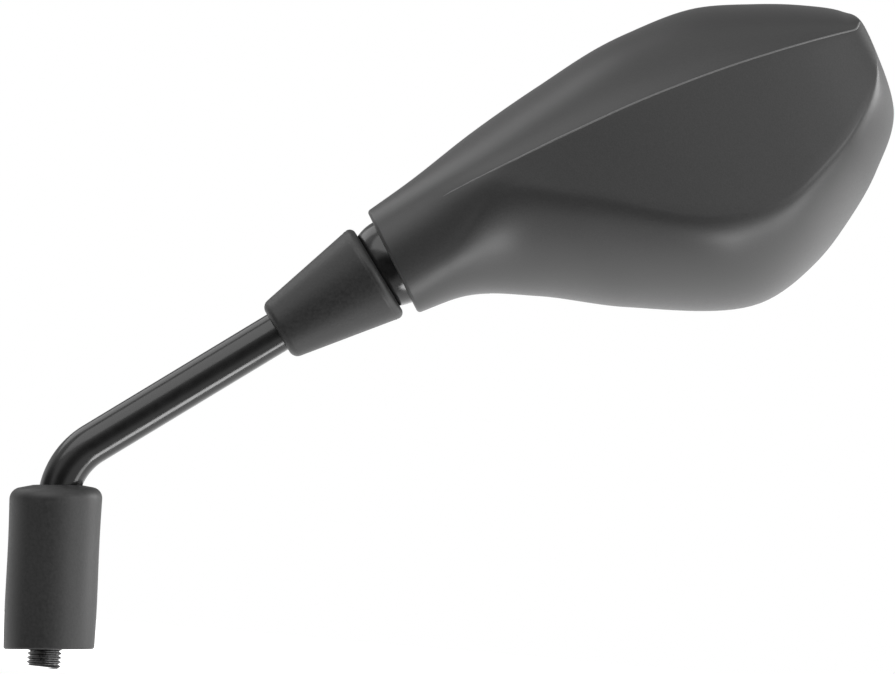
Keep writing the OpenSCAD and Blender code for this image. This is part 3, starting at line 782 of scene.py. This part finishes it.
bpy.ops.object.convert(target="MESH")
bead = bpy.context.object
smooth(bead)
print("crease bead", len(bead.data.polygons), "faces")

# %% [markdown]
# The glass fits its opening all round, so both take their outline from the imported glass. Drawing it
# again could leave an uneven gap. Its front edge is read as a loop, and the opening is that loop moved
# out by the gap.

# %% The glass's outline
GLASS_GAP = 0.45
SHARP_EDGE = 1.0
FACING_FRONT = -0.7


def glass_loop():
    """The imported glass's front edge, in order, in millimetres along and up the head's face"""
    work = bmesh.new()
    work.from_mesh(nodes["mirror_glass"].data)
    bmesh.ops.transform(work, matrix=IN_HEAD.inverted(), verts=work.verts)
    bmesh.ops.remove_doubles(work, verts=work.verts, dist=0.002 * MM)
    edges = [e for e in work.edges if len(e.link_faces) == 2 and e.calc_face_angle(0) > SHARP_EDGE]
    front = [e for e in edges if min(f.normal.z for f in e.link_faces) < FACING_FRONT]
    neighbours = {}
    for e in front:
        for v in e.verts:
            neighbours.setdefault(v, []).append(e.other_vert(v))
    here = min(neighbours, key=lambda v: v.co.x)
    loop, before = [], None
    while here is not None and (not loop or here is not loop[0]):
        loop.append(here)
        onward = [v for v in neighbours[here] if v is not before]
        before, here = here, onward[0] if onward else None
    outline = np.array([(v.co.x, v.co.y) for v in loop]) / MM
    work.free()
    x, y = outline.T
    area = np.sum(x * np.roll(y, -1) - np.roll(x, -1) * y) / 2
    return outline if area > 0 else outline[::-1]


def moved_out(outline, distance):
    """An outline that runs anticlockwise, moved outwards"""
    edge = np.roll(outline, -1, 0) - np.roll(outline, 1, 0)
    edge /= np.linalg.norm(edge, axis=1)[:, None]
    return outline + distance * np.column_stack([edge[:, 1], -edge[:, 0]])


def slab(name, outline, bottom, top):
    """A prism on an outline, in the head's frame"""
    bpy.ops.object.select_all(action="DESELECT")
    bpy.ops.mesh.primitive_circle_add(vertices=len(outline), radius=1, fill_type="NGON")
    obj = bpy.context.object
    obj.name = name
    flat = np.column_stack([outline * MM, np.full(len(outline), bottom * MM)])
    obj.data.vertices.foreach_set("co", flat.ravel())
    obj.data.update()
    edit(obj, "FACE")
    bpy.ops.mesh.select_all(action="SELECT")
    bpy.ops.mesh.extrude_region_move(TRANSFORM_OT_translate={"value": (0, 0, (top - bottom) * MM)})
    bpy.ops.mesh.select_all(action="SELECT")
    bpy.ops.mesh.normals_make_consistent(inside=False)
    leave()
    return obj


GLASS_OUTLINE = glass_loop()
OPENING = moved_out(GLASS_OUTLINE, GLASS_GAP)
print("outline points", len(GLASS_OUTLINE))

# %% [markdown]
# The housing is hollow, with an even wall, an open neck for the ball and an opening for the glass.
# Solidify could fold over itself in the narrow tip, so the core is cut out instead. A short cylinder
# opens the neck, a prism opens the front, and the opening's edge is softened as a moulded one is.

# %% Hollow the housing
MOUTH_R = BALL_R + 1.35 * MM
MOUTH_DEPTH = 8 * MM
MOUTH_AT = -1.6 * MM
OPENING_FROM, OPENING_TO = -40, -9

carve(shell, core)
bpy.ops.object.select_all(action="DESELECT")
bpy.ops.mesh.primitive_cylinder_add(
    vertices=96, radius=MOUTH_R, depth=MOUTH_DEPTH, location=(MOUTH_AT, 0, 0), rotation=(0, math.pi / 2, 0)
)
carve(shell, bpy.context.object)
carve(shell, slab("opening", OPENING, OPENING_FROM, OPENING_TO))
opening_line = np.column_stack([OPENING * MM, np.full(len(OPENING), -RIM_DEPTH * MM)])
soften(shell, opening_line, 0.4 * MM)
settle(shell, IN_HEAD)
settle(bead, IN_HEAD)
smooth(shell, 38)
shell.name = "head_housing"
print("housing", len(shell.data.polygons), "faces")

# %% [markdown]
# The glass is slightly convex, on a radius of 1.2 m, so that the rider sees more of the road. A cap
# cut from so large a sphere would have very few faces. So a grid is laid over the head's face, each
# of its vertices is set to the sphere's depth, Solidify gives it the glass's thickness, and a prism on
# the outline cuts it out.

# %% Mirror glass
GLASS_RADIUS = 1200.0
GLASS_T = 2.0
GLASS_MID = np.array([0.59 * HEAD_LEN, (HEAD_UP - HEAD_DOWN) / 2])
GLASS_SET_BACK = 2.5
GLASS_REACH = 0.43 * HEAD_LEN
GLASS_CENTRE = -RIM_DEPTH + GLASS_SET_BACK + math.sqrt(GLASS_RADIUS**2 - GLASS_REACH**2)
SHEET_LEN, SHEET_HEIGHT = 140, 104
BLANK_FROM, BLANK_TO = -30, -5

bpy.ops.object.select_all(action="DESELECT")
bpy.ops.mesh.primitive_grid_add(x_subdivisions=66, y_subdivisions=48, size=1)
glass = bpy.context.object
glass.name = "mirror_glass_sheet"
flat = np.array([v.co for v in glass.data.vertices])
x = GLASS_MID[0] + flat[:, 0] * SHEET_LEN
y = GLASS_MID[1] + flat[:, 1] * SHEET_HEIGHT
depth = GLASS_CENTRE - np.sqrt(GLASS_RADIUS**2 - (x - GLASS_MID[0]) ** 2 - (y - GLASS_MID[1]) ** 2)
glass.data.vertices.foreach_set("co", (np.column_stack([x, y, depth]) * MM).ravel())
glass.data.update()
thick = glass.modifiers.new("thick", "SOLIDIFY")
thick.thickness = GLASS_T * MM
thick.offset = 1
apply(glass, thick)
tidy(glass)
carve(glass, slab("glass_blank", GLASS_OUTLINE, BLANK_FROM, BLANK_TO), "INTERSECT")
settle(glass, IN_HEAD)
smooth(glass, 30)
lowest = [round(min(v.co[n] for v in glass.data.vertices) / MM, 2) for n in range(3)]
packed_lowest = [round(c / MM, 2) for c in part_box("mirror_glass")[0]]
print("glass", len(glass.data.polygons), "faces, lowest corner", lowest, "packed", packed_lowest)

# %% [markdown]
# Every finish is built from nodes on Object coordinates, in metres, so its grain has a real size.
# A finish starts from one shader, and small helpers add noise that varies its colour and roughness
# and raises a bump. One flat colour would look like no real material.

# %% Helpers for finishes
NOISE_DETAIL = 3.0
NOISE_LOW, NOISE_HIGH = 0.3, 0.7


def new_finish(name, roughness=0.5, metallic=0.0, **sockets):
    material = bpy.data.materials.new(name)
    material.use_nodes = True
    tree = material.node_tree
    shader = tree.nodes["Principled BSDF"]
    shader.inputs["Roughness"].default_value = roughness
    shader.inputs["Metallic"].default_value = metallic
    for key, value in sockets.items():
        shader.inputs[key.replace("_", " ")].default_value = value
    return material, tree, shader


def noise(tree, size):
    """Noise whose features have a real size, in metres"""
    coords = tree.nodes.new("ShaderNodeTexCoord")
    texture = tree.nodes.new("ShaderNodeTexNoise")
    texture.inputs["Scale"].default_value = 1 / size
    texture.inputs["Detail"].default_value = NOISE_DETAIL
    tree.links.new(coords.outputs["Object"], texture.inputs["Vector"])
    return texture.outputs["Fac"]


def ramp(tree, factor, dark, light):
    """A colour that goes from dark to light with the noise"""
    node = tree.nodes.new("ShaderNodeValToRGB")
    node.color_ramp.elements[0].position = NOISE_LOW
    node.color_ramp.elements[0].color = (*dark, 1)
    node.color_ramp.elements[1].position = NOISE_HIGH
    node.color_ramp.elements[1].color = (*light, 1)
    tree.links.new(factor, node.inputs["Fac"])
    return node.outputs["Color"]


def spread(tree, factor, low, high):
    """A number that goes from low to high with the noise"""
    node = tree.nodes.new("ShaderNodeMapRange")
    node.inputs["From Min"].default_value = NOISE_LOW
    node.inputs["From Max"].default_value = NOISE_HIGH
    node.inputs["To Min"].default_value = low
    node.inputs["To Max"].default_value = high
    tree.links.new(factor, node.inputs["Value"])
    return node.outputs["Result"]


def raise_bump(tree, shader, height, distance):
    node = tree.nodes.new("ShaderNodeBump")
    node.inputs["Strength"].default_value = 1.0
    node.inputs["Distance"].default_value = distance
    tree.links.new(height, node.inputs["Height"])
    tree.links.new(node.outputs["Normal"], shader.inputs["Normal"])


def simple_finish(name, dark, light, rough, size, bump=0.0, metallic=0.0, **sockets):
    """Colour and roughness that vary with one noise, with a bump from the same noise"""
    material, tree, shader = new_finish(name, metallic=metallic, **sockets)
    grain = noise(tree, size)
    tree.links.new(ramp(tree, grain, dark, light), shader.inputs["Base Color"])
    tree.links.new(spread(tree, grain, *rough), shader.inputs["Roughness"])
    if bump:
        raise_bump(tree, shader, grain, bump)
    return material


def grey(value):
    return (value, value, value)


def wear(obj, material):
    obj.data.materials.clear()
    obj.data.materials.append(material)


# %% [markdown]
# The housing is black plastic from a finely etched mould: its gloss is low, and a grain of under half
# a millimetre breaks up what it reflects. A bump is enough for so fine a grain. The raised line along
# the crease is painted paler, as a painted highlight, and its grain is almost gone.

# %% Plastic of the housing
housing_finish = simple_finish(
    "moulded_housing", grey(0.026), grey(0.033), (0.37, 0.44), 0.45 * MM, bump=0.018 * MM, IOR=1.5
)
# Painted highlight: the raised line along the crease is coloured paler than the housing, so it shows as a
# light line.
crease_highlight_finish = simple_finish(
    "rubbed_crease", grey(0.105), grey(0.125), (0.38, 0.44), 0.45 * MM, bump=0.004 * MM, IOR=1.5
)
wear(shell, housing_finish)
wear(bead, crease_highlight_finish)
print("finished", housing_finish.name, crease_highlight_finish.name)

# %% [markdown]
# The sleeve and the boot are one kind of soft rubber. It is darker and rougher than the plastic, with
# a coarser, deeper grain, so the highlights on the round pieces come out broad and soft.

# %% Rubber
rubber_finish = simple_finish(
    "soft_rubber", grey(0.014), grey(0.022), (0.44, 0.54), 0.8 * MM, bump=0.03 * MM
)
wear(sleeve, rubber_finish)
wear(boot, rubber_finish)
print("finished", rubber_finish.name)

# %% [markdown]
# The stem is painted gloss black, and so is the ball, a little less shiny. Paint flows while it dries,
# so its unevenness is millimetres wide and very shallow. The thread has no paint, and shows blackened
# steel, which is a metal.

# %% Paint and thread
black_paint = simple_finish(
    "gloss_black_paint", grey(0.006), grey(0.009), (0.14, 0.2), 3 * MM, bump=0.004 * MM
)
ball_paint = simple_finish(
    "ball_black_paint", grey(0.007), grey(0.011), (0.16, 0.24), 2 * MM, bump=0.004 * MM
)
thread_steel = simple_finish(
    "blackened_thread", grey(0.14), grey(0.26), (0.25, 0.4), 0.6 * MM, bump=0.01 * MM, metallic=1.0
)
wear(stem, black_paint)
wear(joint_ball, ball_paint)
wear(mount_thread, thread_steel)
print("finished", black_paint.name, ball_paint.name, thread_steel.name)

# %% [markdown]
# The mirror's glass is silvered, which is shown by a metal that is almost smooth, with a faint tint of
# glass. A clear sheet over a silver one would take longer to compute and look much the same. Its
# ground edge is dull, so the side faces get a material of their own.

# %% Glass
EDGE_LIMIT = 0.6
mirror_finish = simple_finish(
    "mirror_silver", (0.60, 0.65, 0.68), (0.62, 0.67, 0.70), (0.015, 0.03), 40 * MM, metallic=1.0
)
edge_glass = simple_finish(
    "ground_glass_edge", (0.10, 0.14, 0.13), (0.16, 0.21, 0.19), (0.3, 0.5), 0.5 * MM, bump=0.01 * MM
)
wear(glass, mirror_finish)
glass.data.materials.append(edge_glass)
ground = [face for face in glass.data.polygons if abs(face.normal.y) < EDGE_LIMIT]
for face in ground:
    face.material_index = 1
print("glass edge", len(ground), "faces")

# %% [markdown]
# The pieces inside keep the source's shape, which is right for turned and pressed metal, and only get
# their finish: dull zinc on screws and lock nut, bright zinc on the clamp, nylon where something
# slides or locks.

# %% Finishes of the inner pieces
dark_steel = simple_finish(
    "dark_zinc", grey(0.10), grey(0.16), (0.35, 0.5), 0.8 * MM, bump=0.01 * MM, metallic=0.9
)
bright_zinc = simple_finish(
    "bright_zinc",
    (0.52, 0.53, 0.55), (0.66, 0.67, 0.69), (0.28, 0.42), 1.5 * MM, bump=0.01 * MM, metallic=1.0
)
spring_wire = simple_finish(
    "spring_wire",
    (0.30, 0.30, 0.31), (0.42, 0.42, 0.43), (0.25, 0.4), 0.9 * MM, bump=0.01 * MM, metallic=1.0
)
white_nylon = simple_finish(
    "white_nylon", (0.74, 0.72, 0.66), (0.80, 0.78, 0.72), (0.38, 0.5), 1.2 * MM, bump=0.01 * MM
)
blue_nylon = simple_finish(
    "blue_nylon", (0.06, 0.17, 0.45), (0.08, 0.21, 0.52), (0.35, 0.5), 1.0 * MM, bump=0.01 * MM
)
inner_plastic = simple_finish(
    "inner_plastic", grey(0.012), grey(0.018), (0.4, 0.55), 0.6 * MM, bump=0.02 * MM
)

FINISHES = {
    "lock_nut": dark_steel,
    "friction_liner": white_nylon,
    "socket_bracket": bright_zinc,
    "pressure_cup": bright_zinc,
    "joint_spring": spring_wire,
    "thrust_washer": bright_zinc,
    "joint_nut": bright_zinc,
    "nut_insert": blue_nylon,
    "glass_carrier": inner_plastic,
}
for n in range(1, 5):
    FINISHES[f"bracket_screw_{n}"] = dark_steel
    FINISHES[f"carrier_screw_{n}"] = dark_steel
for name, material in FINISHES.items():
    wear(nodes[name], material)
print("inner pieces with a finish", len(FINISHES))

# %% [markdown]
# The foam pad between glass and carrier is soft, so a piece of its own stands in for its solid. Its
# flat shape is right as it is, so the piece is a copy whose loose triangles are merged into one skin,
# with the dull, open grain of foam.

# %% Foam pad
pad = nodes["foam_pad"].copy()
pad.data = pad.data.copy()
bpy.context.scene.collection.objects.link(pad)
pad.name = "foam_sheet"
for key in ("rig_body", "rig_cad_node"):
    if key in pad:
        del pad[key]
pad.parent = None
tidy(pad)
foam_finish = simple_finish(
    "adhesive_foam", grey(0.008), grey(0.02), (0.8, 0.95), 0.5 * MM, bump=0.1 * MM
)
wear(pad, foam_finish)
print("foam pad", len(pad.data.polygons), "faces")

# %% [markdown]
# Each new piece moves with a body of the imported part and hides the node that it stands for. A list
# says it for all of them in one place, with a material slot's name for each, which the loop doesn't use.

# %% Who rides on what
RIDES = [
    (stem, "arm", ["stem"], "gloss_black_steel"),
    (mount_thread, "arm", ["stem"], "gloss_black_steel"),
    (sleeve, "arm", ["lower_sleeve"], "rubber"),
    (boot, "arm", ["joint_boot"], "rubber"),
    (joint_ball, "arm", ["ball"], "gloss_black_ball"),
    (shell, "head", ["rear_housing"], "black_plastic"),
    (bead, "head", ["rear_housing"], "black_plastic"),
    (glass, "head", ["mirror_glass"], "mirror_glass"),
    (pad, "head", ["foam_pad"], "foam"),
]
for piece, body, replaced, slot_name in RIDES:
    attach(piece, body)
    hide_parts(*replaced)
print("new pieces", len(RIDES))

# %% [markdown]
# The photograph looks straight at the housing's back with a long lens, turned by 5 degrees. A camera
# that stands far off and sees a narrow field gives the same flat view, and the width of its frame at
# the object fixes the scale.

# %% Camera
AIM = Vector((108.99, 0, 105.64)) * MM
FRAME_WIDTH = 260.9 * MM
DISTANCE = 9.0
SENSOR = 36
ROLL = math.radians(5)
camera_data = bpy.data.cameras.new("camera")
camera_data.sensor_width = SENSOR
camera_data.lens = SENSOR * DISTANCE / FRAME_WIDTH
camera_data.clip_start = 0.05
camera_data.clip_end = 100
camera = bpy.data.objects.new("camera", camera_data)
bpy.context.scene.collection.objects.link(camera)
camera_at = Matrix.Translation(AIM + Vector((0, -DISTANCE, 0)))
camera.matrix_world = camera_at @ Matrix.Rotation(-ROLL, 4, "Y") @ UPRIGHT
bpy.context.scene.camera = camera
print("camera lens", round(camera_data.lens), "mm")

# %% [markdown]
# The object stands on a pale table. Its front edge lies just in front of the stem's axis, because a
# table that ran on towards the camera would show as a pale band in the housing's lower wall, where
# the photograph is dark. To the camera and through glass the table shines enough to show white, and
# in reflections a little less.

# %% Table
TABLE_LEFT, TABLE_RIGHT = -0.9, 0.6
TABLE_FRONT, TABLE_REAR = -0.012, 1.6
TABLE_GAP = 0.0005
GLOSSY_SHARE = 0.8
TABLE_LIFT = 0.8
bpy.ops.object.select_all(action="DESELECT")
bpy.ops.mesh.primitive_plane_add(size=1)
floor = bpy.context.object
floor.name = "floor"
floor.dimensions = (TABLE_RIGHT - TABLE_LEFT, TABLE_REAR - TABLE_FRONT, 0)
floor.location = (
    (TABLE_LEFT + TABLE_RIGHT) / 2, (TABLE_FRONT + TABLE_REAR) / 2, cad_low.z - TABLE_GAP
)


def white_to_camera(tree):
    """A light path node, and a number that is 1 for camera and transmission rays"""
    paths = tree.nodes.new("ShaderNodeLightPath")
    sees_white = tree.nodes.new("ShaderNodeMath")
    sees_white.operation = "MAXIMUM"
    tree.links.new(paths.outputs["Is Camera Ray"], sees_white.inputs[0])
    tree.links.new(paths.outputs["Is Transmission Ray"], sees_white.inputs[1])
    return paths, sees_white.outputs["Value"]


floor_finish, tree, shader = new_finish("floor_finish", roughness=0.9)
shader.inputs["Base Color"].default_value = (0.7, 0.7, 0.7, 1)
shader.inputs["Emission Color"].default_value = (1, 1, 1, 1)
paths, sees_white = white_to_camera(tree)
sees_gloss = tree.nodes.new("ShaderNodeMath")
sees_gloss.operation = "MULTIPLY_ADD"
sees_gloss.inputs[1].default_value = GLOSSY_SHARE
tree.links.new(paths.outputs["Is Glossy Ray"], sees_gloss.inputs[0])
tree.links.new(sees_white, sees_gloss.inputs[2])
lift = tree.nodes.new("ShaderNodeMath")
lift.operation = "MULTIPLY"
lift.inputs[1].default_value = TABLE_LIFT
tree.links.new(sees_gloss.outputs["Value"], lift.inputs[0])
tree.links.new(lift.outputs["Value"], shader.inputs["Emission Strength"])
wear(floor, floor_finish)
print("table at height", round(floor.location.z, 4))

# %% [markdown]
# The studio is an even white, dimmed round three directions: strongly on the camera's side, a little
# below and to the left of it, less at the far left, and least high up behind the object. Black
# plastic shows mostly what it reflects, so these shaded patches are what makes the housing's faces
# stand out from each other. Black cards would do the same, but would have to be kept out of view.

# %% World light
STUDIO_LEVEL = 0.85


def direction(azimuth, elevation):
    """A direction seen from the object, with azimuth 0 towards the camera and 90 to its right"""
    a, e = math.radians(azimuth), math.radians(elevation)
    return Vector((math.cos(e) * math.sin(a), -math.cos(e) * math.cos(a), math.sin(e)))


world = bpy.data.worlds.new("studio")
bpy.context.scene.world = world
world.use_nodes = True
tree = world.node_tree
for node in list(tree.nodes):
    tree.nodes.remove(node)
coords = tree.nodes.new("ShaderNodeTexCoord")


def shade(centre, inner, outer, level, before=None):
    """Dims the studio round a direction: fully inside one angle, not at all outside the other"""
    facing = tree.nodes.new("ShaderNodeVectorMath")
    facing.operation = "DOT_PRODUCT"
    facing.inputs[1].default_value = centre
    tree.links.new(coords.outputs["Generated"], facing.inputs[0])
    depth = tree.nodes.new("ShaderNodeMapRange")
    depth.interpolation_type = "SMOOTHSTEP"
    depth.inputs["From Min"].default_value = math.cos(math.radians(outer))
    depth.inputs["From Max"].default_value = math.cos(math.radians(inner))
    depth.inputs["To Min"].default_value = 1.0
    depth.inputs["To Max"].default_value = level
    tree.links.new(facing.outputs["Value"], depth.inputs["Value"])
    both = tree.nodes.new("ShaderNodeMath")
    both.operation = "MULTIPLY"
    if before is None:
        both.inputs[0].default_value = STUDIO_LEVEL
    else:
        tree.links.new(before, both.inputs[0])
    tree.links.new(depth.outputs["Result"], both.inputs[1])
    return both.outputs["Value"]


camera_side = shade(direction(-19, -20), 22, 45, 0.06)
and_left = shade(direction(-85, -8), 18, 42, 0.15, camera_side)
and_behind = shade(direction(-175, 35), 12, 48, 0.35, and_left)
paths, sees_white = white_to_camera(tree)
seen = tree.nodes.new("ShaderNodeMix")
seen.data_type = "FLOAT"
seen.inputs["B"].default_value = 1.0
tree.links.new(sees_white, seen.inputs["Factor"])
tree.links.new(and_behind, seen.inputs["A"])
background = tree.nodes.new("ShaderNodeBackground")
background.inputs["Color"].default_value = (1, 1, 1, 1)
tree.links.new(seen.outputs["Result"], background.inputs["Strength"])
output = tree.nodes.new("ShaderNodeOutputWorld")
tree.links.new(background.outputs["Background"], output.inputs["Surface"])
print("world nodes", len(tree.nodes))

# %% [markdown]
# Soft lamps stand round the head. Each is given by where it stands as seen from the head, how wide it
# looks from there, and how bright its face is, which Blender turns into a power. So a lamp can be
# moved nearer or further without changing the highlight that it makes.

# %% Lamps
HEAD_MID = Vector((0.16, 0, 0.155))


def soft_lamp(name, azimuth, elevation, distance, width, height, brightness):
    """A rectangular lamp turned to the head, with its width and height in degrees"""
    data = bpy.data.lights.new(name, "AREA")
    data.shape = "RECTANGLE"
    data.size = 2 * distance * math.tan(math.radians(width / 2))
    data.size_y = 2 * distance * math.tan(math.radians(height / 2))
    data.energy = brightness * math.pi * data.size * data.size_y
    lamp = bpy.data.objects.new(name, data)
    bpy.context.scene.collection.objects.link(lamp)
    place = HEAD_MID + distance * direction(azimuth, elevation)
    turned_to = (HEAD_MID - place).to_track_quat("-Z", "Y").to_matrix().to_4x4()
    lamp.matrix_world = Matrix.Translation(place) @ turned_to
    lamp.visible_camera = False
    print(name, "at", [round(c, 2) for c in place], "power", round(data.energy, 2))


soft_lamp("lamp_over_lens", -48, 38, 0.9, 50, 36, 1.7)
soft_lamp("lamp_front_right", 42, 10, 0.9, 22, 22, 5.0)
soft_lamp("lamp_low_right", 74, -37, 0.7, 24, 38, 3.8)
soft_lamp("lamp_under_stem", 50, -66, 0.53, 17, 14, 9.0)
soft_lamp("lamp_left", -125, 35, 0.9, 34, 30, 1.4)
soft_lamp("lamp_right", 110, 12, 0.9, 32, 28, 6.5)

# %% [markdown]
# The last cell keeps the colours as they are written, with no film look over them.

# %% Colour view
bpy.context.scene.view_settings.view_transform = "Standard"
bpy.context.view_layer.update()
